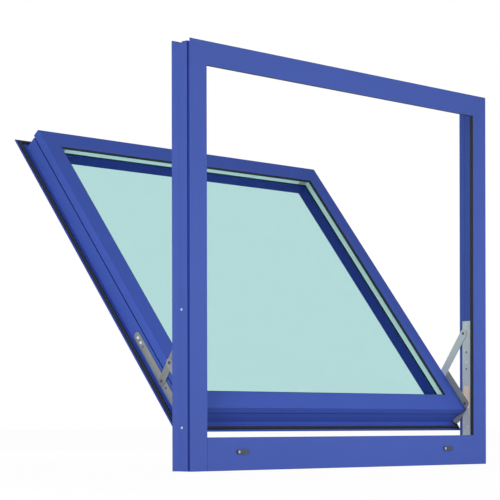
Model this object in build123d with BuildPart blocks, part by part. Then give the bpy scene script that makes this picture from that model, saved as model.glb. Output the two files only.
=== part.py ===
"""A top swing window: an aluminium frame, a glazed sash leaning open in it and two friction stays."""

import os
from math import atan2, cos, degrees, radians, sin

from build123d import *

os.makedirs("parts", exist_ok=True)

# Overall size of the outer frame, in millimetres.
FRAME_WIDTH = 1028.0
FRAME_HEIGHT = 900.0
FRAME_DEPTH = 55.0

# Faces of the outer frame seen from the front. The lip is the part that overhangs the body.
JAMB_FACE = 50.2
SILL_FACE = 71.0
LIP_OVERHANG = 16.2
LIP_THICKNESS = 3.0
LIP_EDGE = 1.0
LIP_REBATE = 7.6

# Section of the outer frame: wall thickness, edge rounding, and the outer side behind the front
# leg: a groove, a flat ridge, a channel and a slope out to the back leg. The hardware groove runs
# along the inner side.
WALL = 2.2
EDGE = 0.8
FRONT_LEG = 1.6
SIDE_GROOVE = 11.0
SIDE_GROOVE_DEPTH = 6.0
RIDGE_SETBACK = 3.8
CHANNEL_START = 28.0
CHANNEL_END = 42.0
CHANNEL_DEPTH = 6.4
BACK_LEG = 4.0
HARDWARE_GROOVE = 7.0
HARDWARE_GROOVE_DEPTH = 1.2
HARDWARE_GROOVE_MIDDLE = 37.5

# Seal in the rebate behind the lip's edge. Its bulb is rounded by a share of the bulb's width.
LIP_SEAL_FOOT = 7.4
LIP_SEAL_FOOT_THICKNESS = 4.0
LIP_SEAL_BULB = 5.0
LIP_SEAL_DEPTH = 11.0
LIP_SEAL_INSET = 0.2
SEAL_ROUNDING = 0.4

# Drain covers on the front of the sill, placed by shares of the frame's width and the sill's face.
DRAIN_LENGTH = 34.0
DRAIN_HEIGHT = 10.0
DRAIN_PROUD = 3.0
DRAIN_SLOT_LENGTH = 24.0
DRAIN_SLOT_HEIGHT = 4.0
DRAIN_SIDE_SHARE = 0.151
DRAIN_BOTTOM_SHARE = 0.56

# The open sash: its lean, the place of its lower front edge and the gaps round it.
SASH_LEAN = 38.0
SASH_FOOT_BEHIND_FRONT = 31.4
SASH_FOOT_HEIGHT = 134.5
SASH_SIDE_GAP = 5.4
SASH_HEIGHT_GAP = 95.0

# Section of the sash.
SASH_FACE = 46.0
SASH_DEPTH = 59.0
SASH_FLANGE = 20.5
SASH_FLANGE_THICKNESS = 3.0
FLANGE_ROOT = 3.0
FLANGE_ROOT_DEPTH = 2.0
SASH_STOP_THICKNESS = 3.0
SASH_BODY = 24.0
BAR_RECESS = 2.4
BAR_RECESS_START = 23.4
SHADOW_GROOVE = 4.4
SHADOW_GROOVE_DEPTH = 6.0

# Seal fixed to the front of the sash flange.
SASH_SEAL_FOOT = 8.0
SASH_SEAL_FOOT_THICKNESS = 1.6
SASH_SEAL_BULB = 5.0
SASH_SEAL_HEIGHT = 4.5
SASH_SEAL_INSET = 4.0

# Double glazing: two panes held apart by a spacer, sealed against the stop and the beads.
PANE_THICKNESS = 4.0
PANE_GAP = 12.0
PANE_INSET = 2.0
SPACER_WIDTH = 9.0
SPACER_SETBACK = 6.0
STOP_SEAL = 4.5
STOP_SEAL_WIDTH = 9.0
STOP_SEAL_CAP = 1.2
BEAD_SEAL = 1.6
BEAD_SEAL_WIDTH = 8.0
BEAD_FACE = 16.0
BEAD_BEVEL = 1.6
BEAD_WALL = 1.6
BEAD_BACK_SETBACK = 2.0

# Friction stays: strips in layers between the jamb and the sash, and the places of their pivots.
TRACK_WIDTH = 24.0
TRACK_LENGTH = 294.0
TRACK_ABOVE_SILL = 2.2
TRACK_BEHIND_FRONT = 33.2
TRACK_THICKNESS = 1.7
TRACK_FLOOR = 0.7
TRACK_EDGE = 3.0
COVER_LENGTH = 159.0
ARM_WIDTH = 19.0
ARM_THICKNESS = 1.7
BAR_WIDTH = 18.0
BAR_THICKNESS = 2.6
BAR_CLEARANCE = 5.2
BAR_ABOVE_PIVOT = 125.0
BAR_PIVOT_UP_SASH = 101.5
ARM_PIVOT_BELOW_TRACK_TOP = 30.5
ARM_PIVOT_BEHIND_TRACK = 6.8
LINK_ALONG_ARM = 0.7
SHOE_PIVOT_BEHIND_TRACK = 3.0
SHOE_LENGTH = 54.0
SHOE_PLAY = 0.3
RIVET_RADIUS = 4.2
RIVET_HEAD = 1.1
SCREW_HOLE_RADIUS = 2.4
TRACK_HOLES = (0.12, 0.6, 0.65, 0.74, 0.975)
BAR_HOLES = (0.37, 0.87, 0.92, 0.98)

# Sizes that follow from the ones above.
DRAIN_FROM_SIDE = DRAIN_SIDE_SHARE * FRAME_WIDTH
DRAIN_FROM_BOTTOM = DRAIN_BOTTOM_SHARE * SILL_FACE
JAMB_BODY = JAMB_FACE - LIP_OVERHANG
SILL_BODY = SILL_FACE - LIP_OVERHANG
SASH_INSET = JAMB_BODY + SASH_SIDE_GAP
SASH_WIDTH = FRAME_WIDTH - 2 * SASH_INSET + 2 * SASH_FLANGE
SASH_HEIGHT = FRAME_HEIGHT - SASH_HEIGHT_GAP + 2 * SASH_FLANGE
FRONT_Y = -FRAME_DEPTH / 2
LEAN_SIN = sin(radians(SASH_LEAN))
LEAN_COS = cos(radians(SASH_LEAN))
OUTER_PANE_DEPTH = SASH_STOP_THICKNESS + STOP_SEAL
SPACER_DEPTH = OUTER_PANE_DEPTH + PANE_THICKNESS
INNER_PANE_DEPTH = SPACER_DEPTH + PANE_GAP
BEAD_SEAL_DEPTH = INNER_PANE_DEPTH + PANE_THICKNESS
BEAD_DEPTH = BEAD_SEAL_DEPTH + BEAD_SEAL
BEAD_BACK = SASH_DEPTH - BEAD_BACK_SETBACK
FLANGE_FRONT = SASH_DEPTH - SASH_FLANGE_THICKNESS

# Directions: across the window, up the leaning sash and from its front towards its back.
ACROSS = Vector(1, 0, 0)
UP = Vector(0, 0, 1)
UP_SASH = Vector(0, LEAN_SIN, LEAN_COS)
INTO_SASH = Vector(0, LEAN_COS, -LEAN_SIN)
FRAME_FOOT = Vector(0, FRONT_Y, 0)
SASH_EDGE = Vector(0, FRONT_Y + SASH_FOOT_BEHIND_FRONT, SASH_FOOT_HEIGHT)
SASH_FOOT = SASH_EDGE - UP_SASH * SASH_FLANGE


def member_planes(foot, width, height, up):
    """Planes across the four members of a rectangle: x runs inward, y runs from front to back."""
    half = ACROSS * (width / 2)
    head = foot + up * height
    return {
        "left": Plane(origin=foot - half, x_dir=ACROSS, z_dir=up),
        "top": Plane(origin=head - half, x_dir=-up, z_dir=ACROSS),
        "right": Plane(origin=head + half, x_dir=-ACROSS, z_dir=-up),
        "bottom": Plane(origin=foot + half, x_dir=up, z_dir=-ACROSS),
    }


def mitre_start(plane):
    """Cut the member that starts on this plane at half a right angle."""
    split(bisect_by=Plane(origin=plane.origin, z_dir=plane.z_dir - plane.x_dir), keep=Keep.TOP)


def mitre_end(plane, length):
    """Cut the far end of the member that starts on this plane at half a right angle."""
    end = plane.origin + plane.z_dir * length
    split(bisect_by=Plane(origin=end, z_dir=-plane.z_dir - plane.x_dir), keep=Keep.TOP)


def box_face(low, high, mode=Mode.ADD):
    """A rectangle between two corners of the sketch."""
    middle = ((low[0] + high[0]) / 2, (low[1] + high[1]) / 2)
    with Locations(middle):
        Rectangle(high[0] - low[0], high[1] - low[1], mode=mode)


def frame_outline():
    """Outline of the head and the jambs: rebated lip in front, body behind, grooves along it."""
    face = JAMB_FACE
    body = JAMB_BODY
    groove_low = HARDWARE_GROOVE_MIDDLE - HARDWARE_GROOVE / 2
    groove_high = HARDWARE_GROOVE_MIDDLE + HARDWARE_GROOVE / 2
    floor = body - HARDWARE_GROOVE_DEPTH
    side_groove_end = FRONT_LEG + SIDE_GROOVE
    return [
        (0, EDGE),
        (EDGE, 0),
        (face - EDGE, 0),
        (face, EDGE),
        (face, LIP_EDGE),
        (face - LIP_REBATE, LIP_EDGE),
        (face - LIP_REBATE, LIP_THICKNESS),
        (body, LIP_THICKNESS),
        (body, groove_low),
        (floor, groove_low + HARDWARE_GROOVE_DEPTH),
        (floor, groove_high - HARDWARE_GROOVE_DEPTH),
        (body, groove_high),
        (body, FRAME_DEPTH - EDGE),
        (body - EDGE, FRAME_DEPTH),
        (EDGE, FRAME_DEPTH),
        (0, FRAME_DEPTH - EDGE),
        (0, FRAME_DEPTH - BACK_LEG),
        (CHANNEL_DEPTH, CHANNEL_END),
        (CHANNEL_DEPTH, CHANNEL_START),
        (RIDGE_SETBACK, CHANNEL_START),
        (RIDGE_SETBACK, side_groove_end),
        (SIDE_GROOVE_DEPTH, side_groove_end),
        (SIDE_GROOVE_DEPTH, FRONT_LEG),
        (0, FRONT_LEG),
    ]


def frame_chamber():
    """The hollow inside the head and the jambs."""
    box_face(
        (CHANNEL_DEPTH + WALL, LIP_THICKNESS + WALL),
        (JAMB_BODY - HARDWARE_GROOVE_DEPTH - WALL, FRAME_DEPTH - WALL),
        Mode.SUBTRACT,
    )


def sill_outline():
    """Outline of the sill: the same lip and body, on a flat underside."""
    face = SILL_FACE
    body = SILL_BODY
    return [
        (0, EDGE),
        (EDGE, 0),
        (face - EDGE, 0),
        (face, EDGE),
        (face, LIP_EDGE),
        (face - LIP_REBATE, LIP_EDGE),
        (face - LIP_REBATE, LIP_THICKNESS),
        (body, LIP_THICKNESS),
        (body, FRAME_DEPTH - EDGE),
        (body - EDGE, FRAME_DEPTH),
        (EDGE, FRAME_DEPTH),
        (0, FRAME_DEPTH - EDGE),
    ]


def sill_chamber():
    """The hollow inside the sill, behind its front wall."""
    box_face((WALL, LIP_THICKNESS), (SILL_BODY - WALL, FRAME_DEPTH - WALL), Mode.SUBTRACT)


def jamb_envelope():
    """Outline of a jamb without its grooves, used to shape the ends of the sill round it."""
    box_face((-JAMB_FACE, -LIP_THICKNESS), (JAMB_FACE, LIP_THICKNESS))
    box_face((-JAMB_FACE, 0), (JAMB_BODY, FRAME_DEPTH + LIP_THICKNESS))


def sash_outline():
    """Outline of the sash: face, stop for the glass, grooved outer side and flange at the back."""
    outer = SASH_FLANGE
    stop = outer + SASH_FACE - STOP_SEAL_CAP
    floor = outer + SASH_BODY
    recess = outer + BAR_RECESS
    root = outer - FLANGE_ROOT
    root_depth = FLANGE_FRONT - FLANGE_ROOT_DEPTH
    groove_front = BAR_RECESS_START - SHADOW_GROOVE
    return [
        (outer, EDGE),
        (outer + EDGE, 0),
        (stop - EDGE, 0),
        (stop, EDGE),
        (stop, SASH_STOP_THICKNESS),
        (floor, SASH_STOP_THICKNESS),
        (floor, SASH_DEPTH),
        (EDGE, SASH_DEPTH),
        (0, SASH_DEPTH - EDGE),
        (0, FLANGE_FRONT),
        (root, FLANGE_FRONT),
        (root, root_depth),
        (recess, root_depth),
        (recess, BAR_RECESS_START),
        (outer + SHADOW_GROOVE_DEPTH, BAR_RECESS_START),
        (outer + SHADOW_GROOVE_DEPTH, groove_front),
        (outer, groove_front),
    ]


def sash_chamber():
    """The hollow inside the sash."""
    box_face(
        (SASH_FLANGE + SHADOW_GROOVE_DEPTH + WALL, SASH_STOP_THICKNESS),
        (SASH_FLANGE + SASH_BODY - WALL, SASH_DEPTH - WALL),
        Mode.SUBTRACT,
    )


def bead_outline():
    """Outline of a glazing bead: a strip with bevelled edges, seated on the sash body."""
    low = SASH_FLANGE + SASH_BODY
    high = low + BEAD_FACE
    return [
        (low, BEAD_DEPTH),
        (high - BEAD_BEVEL, BEAD_DEPTH),
        (high, BEAD_DEPTH + BEAD_BEVEL),
        (high, BEAD_BACK - BEAD_BEVEL),
        (high - BEAD_BEVEL, BEAD_BACK),
        (low, BEAD_BACK),
    ]


def bead_chamber():
    """The hollow inside a glazing bead."""
    low = SASH_FLANGE + SASH_BODY + BEAD_WALL
    high = SASH_FLANGE + SASH_BODY + BEAD_FACE - BEAD_BEVEL - BEAD_WALL
    box_face((low, BEAD_DEPTH + BEAD_WALL), (high, BEAD_BACK - BEAD_WALL), Mode.SUBTRACT)


def sash_plane(depth):
    """Plane parallel to the front of the sash, at a depth behind it, centred on the sash."""
    middle = SASH_FOOT + UP_SASH * (SASH_HEIGHT / 2) + INTO_SASH * depth
    return Plane(origin=middle, x_dir=ACROSS, z_dir=INTO_SASH * -1)


def frame_plane(depth):
    """Plane parallel to the front of the frame, at a depth behind it, with y up from the bottom."""
    return Plane(origin=FRAME_FOOT + Vector(0, depth, 0), x_dir=ACROSS, z_dir=Vector(0, -1, 0))


def sash_ring(outer, inner):
    """A rectangular ring on a plane of the sash, its two edges given inward from the flange."""
    Rectangle(SASH_WIDTH - 2 * outer, SASH_HEIGHT - 2 * outer)
    Rectangle(SASH_WIDTH - 2 * inner, SASH_HEIGHT - 2 * inner, mode=Mode.SUBTRACT)


def lip_ring(outer, inner):
    """A ring round the clear opening of the frame, its two edges given outward from the lip."""
    clear_width = FRAME_WIDTH - 2 * JAMB_FACE
    clear_height = FRAME_HEIGHT - JAMB_FACE - SILL_FACE
    with Locations((0, SILL_FACE + clear_height / 2)):
        Rectangle(clear_width + 2 * outer, clear_height + 2 * outer)
        Rectangle(clear_width + 2 * inner, clear_height + 2 * inner, mode=Mode.SUBTRACT)


FRAME_PLANES = member_planes(FRAME_FOOT, FRAME_WIDTH, FRAME_HEIGHT, UP)
SASH_PLANES = member_planes(SASH_FOOT, SASH_WIDTH, SASH_HEIGHT, UP_SASH)

# Outer frame. The head is mitred to the jambs and the sill stands between the jambs.
with BuildPart() as frame_head:
    with BuildSketch(FRAME_PLANES["top"]):
        with BuildLine():
            Polyline(frame_outline(), close=True)
        make_face()
        frame_chamber()
    extrude(amount=FRAME_WIDTH)
    mitre_start(FRAME_PLANES["top"])
    mitre_end(FRAME_PLANES["top"], FRAME_WIDTH)
frame_head.part.label = "frame_head"
export_step(frame_head.part, "parts/frame_head.step")

with BuildPart() as frame_left_jamb:
    with BuildSketch(FRAME_PLANES["left"]):
        with BuildLine():
            Polyline(frame_outline(), close=True)
        make_face()
        frame_chamber()
    extrude(amount=FRAME_HEIGHT)
    mitre_end(FRAME_PLANES["left"], FRAME_HEIGHT)
frame_left_jamb.part.label = "frame_left_jamb"
export_step(frame_left_jamb.part, "parts/frame_left_jamb.step")

with BuildPart() as frame_right_jamb:
    with BuildSketch(FRAME_PLANES["right"]):
        with BuildLine():
            Polyline(frame_outline(), close=True)
        make_face()
        frame_chamber()
    extrude(amount=FRAME_HEIGHT)
    mitre_start(FRAME_PLANES["right"])
frame_right_jamb.part.label = "frame_right_jamb"
export_step(frame_right_jamb.part, "parts/frame_right_jamb.step")

DRAIN_X = FRAME_WIDTH / 2 - DRAIN_FROM_SIDE

with BuildPart() as frame_sill:
    with BuildSketch(FRAME_PLANES["bottom"]):
        with BuildLine():
            Polyline(sill_outline(), close=True)
        make_face()
        sill_chamber()
    extrude(amount=FRAME_WIDTH)
    with BuildSketch(FRAME_PLANES["left"]):
        jamb_envelope()
    extrude(amount=FRAME_HEIGHT, mode=Mode.SUBTRACT)
    with BuildSketch(FRAME_PLANES["right"]):
        jamb_envelope()
    extrude(amount=FRAME_HEIGHT, mode=Mode.SUBTRACT)
    with BuildSketch(frame_plane(0)):
        with Locations((-DRAIN_X, DRAIN_FROM_BOTTOM), (DRAIN_X, DRAIN_FROM_BOTTOM)):
            SlotOverall(DRAIN_SLOT_LENGTH, DRAIN_SLOT_HEIGHT)
    extrude(amount=-LIP_THICKNESS, mode=Mode.SUBTRACT)
frame_sill.part.label = "frame_sill"
export_step(frame_sill.part, "parts/frame_sill.step")

with BuildPart() as frame_seal:
    with BuildSketch(frame_plane(LIP_EDGE)):
        lip_ring(LIP_SEAL_INSET + LIP_SEAL_FOOT, LIP_SEAL_INSET)
    extrude(amount=-LIP_SEAL_FOOT_THICKNESS)
    with BuildSketch(frame_plane(LIP_EDGE + LIP_SEAL_FOOT_THICKNESS)):
        lip_ring(LIP_SEAL_INSET + LIP_SEAL_BULB, LIP_SEAL_INSET)
    extrude(amount=LIP_SEAL_FOOT_THICKNESS - LIP_SEAL_DEPTH)
    bulb_edges = frame_seal.faces().sort_by(Axis.Y)[-1].edges()
    fillet(bulb_edges, radius=LIP_SEAL_BULB * SEAL_ROUNDING)
frame_seal.part.label = "frame_seal"
export_step(frame_seal.part, "parts/frame_seal.step")

# Drain covers: hoods with round ends over the slots of the sill, hollow along the lower half.
with BuildPart() as drain_cover_left:
    with BuildSketch(frame_plane(0)):
        with Locations((-DRAIN_X, DRAIN_FROM_BOTTOM)):
            SlotOverall(DRAIN_LENGTH, DRAIN_HEIGHT)
    extrude(amount=DRAIN_PROUD)
    with BuildSketch(frame_plane(0)):
        with Locations((-DRAIN_X, DRAIN_FROM_BOTTOM - DRAIN_HEIGHT / 4)):
            SlotOverall(DRAIN_SLOT_LENGTH, DRAIN_HEIGHT / 2 - WALL / 2)
    extrude(amount=DRAIN_PROUD - WALL / 2, mode=Mode.SUBTRACT)
drain_cover_left.part.label = "drain_cover_left"
export_step(drain_cover_left.part, "parts/drain_cover_left.step")

with BuildPart() as drain_cover_right:
    with BuildSketch(frame_plane(0)):
        with Locations((DRAIN_X, DRAIN_FROM_BOTTOM)):
            SlotOverall(DRAIN_LENGTH, DRAIN_HEIGHT)
    extrude(amount=DRAIN_PROUD)
    with BuildSketch(frame_plane(0)):
        with Locations((DRAIN_X, DRAIN_FROM_BOTTOM - DRAIN_HEIGHT / 4)):
            SlotOverall(DRAIN_SLOT_LENGTH, DRAIN_HEIGHT / 2 - WALL / 2)
    extrude(amount=DRAIN_PROUD - WALL / 2, mode=Mode.SUBTRACT)
drain_cover_right.part.label = "drain_cover_right"
export_step(drain_cover_right.part, "parts/drain_cover_right.step")

# Sash: four mitred members of one section.
with BuildPart() as sash_top_rail:
    with BuildSketch(SASH_PLANES["top"]):
        with BuildLine():
            Polyline(sash_outline(), close=True)
        make_face()
        sash_chamber()
    extrude(amount=SASH_WIDTH)
    mitre_start(SASH_PLANES["top"])
    mitre_end(SASH_PLANES["top"], SASH_WIDTH)
sash_top_rail.part.label = "sash_top_rail"
export_step(sash_top_rail.part, "parts/sash_top_rail.step")

with BuildPart() as sash_bottom_rail:
    with BuildSketch(SASH_PLANES["bottom"]):
        with BuildLine():
            Polyline(sash_outline(), close=True)
        make_face()
        sash_chamber()
    extrude(amount=SASH_WIDTH)
    mitre_start(SASH_PLANES["bottom"])
    mitre_end(SASH_PLANES["bottom"], SASH_WIDTH)
sash_bottom_rail.part.label = "sash_bottom_rail"
export_step(sash_bottom_rail.part, "parts/sash_bottom_rail.step")

with BuildPart() as sash_left_stile:
    with BuildSketch(SASH_PLANES["left"]):
        with BuildLine():
            Polyline(sash_outline(), close=True)
        make_face()
        sash_chamber()
    extrude(amount=SASH_HEIGHT)
    mitre_start(SASH_PLANES["left"])
    mitre_end(SASH_PLANES["left"], SASH_HEIGHT)
sash_left_stile.part.label = "sash_left_stile"
export_step(sash_left_stile.part, "parts/sash_left_stile.step")

with BuildPart() as sash_right_stile:
    with BuildSketch(SASH_PLANES["right"]):
        with BuildLine():
            Polyline(sash_outline(), close=True)
        make_face()
        sash_chamber()
    extrude(amount=SASH_HEIGHT)
    mitre_start(SASH_PLANES["right"])
    mitre_end(SASH_PLANES["right"], SASH_HEIGHT)
sash_right_stile.part.label = "sash_right_stile"
export_step(sash_right_stile.part, "parts/sash_right_stile.step")

SASH_SEAL_BULB_INSET = SASH_SEAL_INSET + (SASH_SEAL_FOOT - SASH_SEAL_BULB) / 2

with BuildPart() as sash_seal:
    with BuildSketch(sash_plane(FLANGE_FRONT)):
        sash_ring(SASH_SEAL_INSET, SASH_SEAL_INSET + SASH_SEAL_FOOT)
    extrude(amount=SASH_SEAL_FOOT_THICKNESS)
    with BuildSketch(sash_plane(FLANGE_FRONT - SASH_SEAL_FOOT_THICKNESS)):
        sash_ring(SASH_SEAL_BULB_INSET, SASH_SEAL_BULB_INSET + SASH_SEAL_BULB)
    extrude(amount=SASH_SEAL_HEIGHT - SASH_SEAL_FOOT_THICKNESS)
    bulb_edges = sash_seal.faces().sort_by(Axis(origin=SASH_FOOT, direction=INTO_SASH))[0].edges()
    fillet(bulb_edges, radius=SASH_SEAL_BULB * SEAL_ROUNDING)
sash_seal.part.label = "sash_seal"
export_step(sash_seal.part, "parts/sash_seal.step")

# Glazing, from the stop at the front to the beads at the back.
STOP_EDGE = SASH_FLANGE + SASH_FACE
BEAD_EDGE = SASH_FLANGE + SASH_BODY + BEAD_FACE
PANE_EDGE = SASH_FLANGE + SASH_BODY + PANE_INSET
SPACER_EDGE = STOP_EDGE - SPACER_SETBACK

with BuildPart() as glazing_seal_front:
    with BuildSketch(sash_plane(OUTER_PANE_DEPTH)):
        sash_ring(STOP_EDGE - STOP_SEAL_WIDTH, STOP_EDGE)
    extrude(amount=STOP_SEAL)
    with BuildSketch(sash_plane(SASH_STOP_THICKNESS)):
        sash_ring(STOP_EDGE - STOP_SEAL_CAP, STOP_EDGE)
    extrude(amount=SASH_STOP_THICKNESS - EDGE)
glazing_seal_front.part.label = "glazing_seal_front"
export_step(glazing_seal_front.part, "parts/glazing_seal_front.step")

with BuildPart() as outer_pane:
    with BuildSketch(sash_plane(OUTER_PANE_DEPTH)):
        Rectangle(SASH_WIDTH - 2 * PANE_EDGE, SASH_HEIGHT - 2 * PANE_EDGE)
    extrude(amount=-PANE_THICKNESS)
outer_pane.part.label = "outer_pane"
export_step(outer_pane.part, "parts/outer_pane.step")

with BuildPart() as glazing_spacer:
    with BuildSketch(sash_plane(SPACER_DEPTH)):
        sash_ring(SPACER_EDGE - SPACER_WIDTH, SPACER_EDGE)
    extrude(amount=-PANE_GAP)
glazing_spacer.part.label = "glazing_spacer"
export_step(glazing_spacer.part, "parts/glazing_spacer.step")

with BuildPart() as inner_pane:
    with BuildSketch(sash_plane(INNER_PANE_DEPTH)):
        Rectangle(SASH_WIDTH - 2 * PANE_EDGE, SASH_HEIGHT - 2 * PANE_EDGE)
    extrude(amount=-PANE_THICKNESS)
inner_pane.part.label = "inner_pane"
export_step(inner_pane.part, "parts/inner_pane.step")

with BuildPart() as glazing_seal_back:
    with BuildSketch(sash_plane(BEAD_SEAL_DEPTH)):
        sash_ring(BEAD_EDGE - BEAD_BEVEL - BEAD_SEAL_WIDTH, BEAD_EDGE - BEAD_BEVEL)
    extrude(amount=-BEAD_SEAL)
glazing_seal_back.part.label = "glazing_seal_back"
export_step(glazing_seal_back.part, "parts/glazing_seal_back.step")

with BuildPart() as bead_top:
    with BuildSketch(SASH_PLANES["top"]):
        with BuildLine():
            Polyline(bead_outline(), close=True)
        make_face()
        bead_chamber()
    extrude(amount=SASH_WIDTH)
    mitre_start(SASH_PLANES["top"])
    mitre_end(SASH_PLANES["top"], SASH_WIDTH)
bead_top.part.label = "bead_top"
export_step(bead_top.part, "parts/bead_top.step")

with BuildPart() as bead_bottom:
    with BuildSketch(SASH_PLANES["bottom"]):
        with BuildLine():
            Polyline(bead_outline(), close=True)
        make_face()
        bead_chamber()
    extrude(amount=SASH_WIDTH)
    mitre_start(SASH_PLANES["bottom"])
    mitre_end(SASH_PLANES["bottom"], SASH_WIDTH)
bead_bottom.part.label = "bead_bottom"
export_step(bead_bottom.part, "parts/bead_bottom.step")

with BuildPart() as bead_left:
    with BuildSketch(SASH_PLANES["left"]):
        with BuildLine():
            Polyline(bead_outline(), close=True)
        make_face()
        bead_chamber()
    extrude(amount=SASH_HEIGHT)
    mitre_start(SASH_PLANES["left"])
    mitre_end(SASH_PLANES["left"], SASH_HEIGHT)
bead_left.part.label = "bead_left"
export_step(bead_left.part, "parts/bead_left.step")

with BuildPart() as bead_right:
    with BuildSketch(SASH_PLANES["right"]):
        with BuildLine():
            Polyline(bead_outline(), close=True)
        make_face()
        bead_chamber()
    extrude(amount=SASH_HEIGHT)
    mitre_start(SASH_PLANES["right"])
    mitre_end(SASH_PLANES["right"], SASH_HEIGHT)
bead_right.part.label = "bead_right"
export_step(bead_right.part, "parts/bead_right.step")

# Friction stays. Each has a track on the jamb, a shoe in it, a main arm, a link, a foot arm and a
# bar on the sash. The link lies parallel to the bar and the foot arm parallel to the main arm.
REVEAL_X = FRAME_WIDTH / 2 - JAMB_BODY
BAR_X = FRAME_WIDTH / 2 - SASH_INSET - BAR_RECESS
ARM_X = BAR_X + BAR_THICKNESS
LINK_X = ARM_X + ARM_THICKNESS
TRACK_X = REVEAL_X - TRACK_THICKNESS
LINK_THICKNESS = TRACK_X - LINK_X
TRACK_Y = FRONT_Y + TRACK_BEHIND_FRONT
TRACK_FOOT = SILL_BODY + TRACK_ABOVE_SILL
TRACK_TOP = TRACK_FOOT + TRACK_LENGTH
COVER_FOOT = TRACK_TOP - COVER_LENGTH
BAR_LINE_DEPTH = FLANGE_FRONT - FLANGE_ROOT_DEPTH - BAR_CLEARANCE - ARM_WIDTH / 2

# Pivots in the plane of a stay: the first number runs back, the second one up.
SASH_STEP = Vector(LEAN_SIN, LEAN_COS)
BAR_LINE_FOOT = SASH_EDGE + INTO_SASH * BAR_LINE_DEPTH
BAR_PIVOT = Vector(BAR_LINE_FOOT.Y, BAR_LINE_FOOT.Z) + SASH_STEP * BAR_PIVOT_UP_SASH
TRACK_PIVOT = Vector(TRACK_Y + ARM_PIVOT_BEHIND_TRACK, TRACK_TOP - ARM_PIVOT_BELOW_TRACK_TOP)
ARM_RUN = BAR_PIVOT - TRACK_PIVOT
LINK_PIVOT = TRACK_PIVOT + ARM_RUN * LINK_ALONG_ARM
LINK_LENGTH = (LINK_PIVOT.X - TRACK_Y - SHOE_PIVOT_BEHIND_TRACK) / LEAN_SIN
SHOE_PIVOT = LINK_PIVOT - SASH_STEP * LINK_LENGTH
FOOT_PIVOT = BAR_PIVOT - SASH_STEP * LINK_LENGTH
BAR_TOP = BAR_PIVOT + SASH_STEP * BAR_ABOVE_PIVOT


def side_plane(x):
    """Plane facing the right jamb at a place across the window: its x runs back and its y up."""
    return Plane(origin=(x, 0, 0), x_dir=(0, 1, 0), z_dir=(1, 0, 0))


def strip(start, end, width):
    """A flat strip with round ends from one pivot to another."""
    run = end - start
    middle = (start + end) * 0.5
    with Locations((middle.X, middle.Y)):
        SlotCenterToCenter(run.length, width, rotation=degrees(atan2(run.Y, run.X)))


def disc(pivot, radius):
    """A round face at a pivot."""
    with Locations((pivot.X, pivot.Y)):
        Circle(radius)


def holes_between(start, end, fractions):
    """Screw holes at fractions of the way from one place to another."""
    for fraction in fractions:
        disc(start + (end - start) * fraction, SCREW_HOLE_RADIUS)


with BuildPart() as stay_track_right:
    with BuildSketch(side_plane(TRACK_X)):
        with Locations((TRACK_Y, TRACK_FOOT + TRACK_LENGTH / 2)):
            Rectangle(TRACK_WIDTH, TRACK_LENGTH)
    extrude(amount=TRACK_THICKNESS)
    with BuildSketch(side_plane(TRACK_X)):
        with Locations((TRACK_Y, (TRACK_FOOT + COVER_FOOT) / 2)):
            Rectangle(TRACK_WIDTH - 2 * TRACK_EDGE, COVER_FOOT - TRACK_FOOT)
    extrude(amount=TRACK_THICKNESS - TRACK_FLOOR, mode=Mode.SUBTRACT)
    with BuildSketch(side_plane(TRACK_X)):
        holes_between(Vector(TRACK_Y, TRACK_FOOT), Vector(TRACK_Y, TRACK_TOP), TRACK_HOLES)
    extrude(amount=TRACK_THICKNESS, mode=Mode.SUBTRACT)
stay_track_right.part.label = "stay_track_right"
export_step(stay_track_right.part, "parts/stay_track_right.step")

with BuildPart() as stay_track_left:
    mirror(stay_track_right.part, about=Plane.YZ)
stay_track_left.part.label = "stay_track_left"
export_step(stay_track_left.part, "parts/stay_track_left.step")

with BuildPart() as stay_shoe_right:
    with BuildSketch(side_plane(TRACK_X)):
        with Locations((TRACK_Y, COVER_FOOT - SHOE_PLAY - SHOE_LENGTH / 2)):
            Rectangle(TRACK_WIDTH - 2 * TRACK_EDGE - 2 * SHOE_PLAY, SHOE_LENGTH)
    extrude(amount=TRACK_THICKNESS - TRACK_FLOOR)
stay_shoe_right.part.label = "stay_shoe_right"
export_step(stay_shoe_right.part, "parts/stay_shoe_right.step")

with BuildPart() as stay_shoe_left:
    mirror(stay_shoe_right.part, about=Plane.YZ)
stay_shoe_left.part.label = "stay_shoe_left"
export_step(stay_shoe_left.part, "parts/stay_shoe_left.step")

with BuildPart() as stay_arm_right:
    with BuildSketch(side_plane(ARM_X)):
        strip(TRACK_PIVOT, BAR_PIVOT, ARM_WIDTH)
    extrude(amount=ARM_THICKNESS)
    with BuildSketch(side_plane(LINK_X)):
        disc(TRACK_PIVOT, ARM_WIDTH / 2)
    extrude(amount=LINK_THICKNESS)
    with BuildSketch(side_plane(ARM_X)):
        disc(TRACK_PIVOT, RIVET_RADIUS)
    extrude(amount=-RIVET_HEAD)
    with BuildSketch(side_plane(LINK_X)):
        disc(BAR_PIVOT, RIVET_RADIUS)
    extrude(amount=RIVET_HEAD)
stay_arm_right.part.label = "stay_arm_right"
export_step(stay_arm_right.part, "parts/stay_arm_right.step")

with BuildPart() as stay_arm_left:
    mirror(stay_arm_right.part, about=Plane.YZ)
stay_arm_left.part.label = "stay_arm_left"
export_step(stay_arm_left.part, "parts/stay_arm_left.step")

with BuildPart() as stay_link_right:
    with BuildSketch(side_plane(LINK_X)):
        strip(SHOE_PIVOT, LINK_PIVOT, ARM_WIDTH)
    extrude(amount=LINK_THICKNESS)
    with BuildSketch(side_plane(TRACK_X)):
        disc(LINK_PIVOT, RIVET_RADIUS)
    extrude(amount=RIVET_HEAD)
stay_link_right.part.label = "stay_link_right"
export_step(stay_link_right.part, "parts/stay_link_right.step")

with BuildPart() as stay_link_left:
    mirror(stay_link_right.part, about=Plane.YZ)
stay_link_left.part.label = "stay_link_left"
export_step(stay_link_left.part, "parts/stay_link_left.step")

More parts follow.
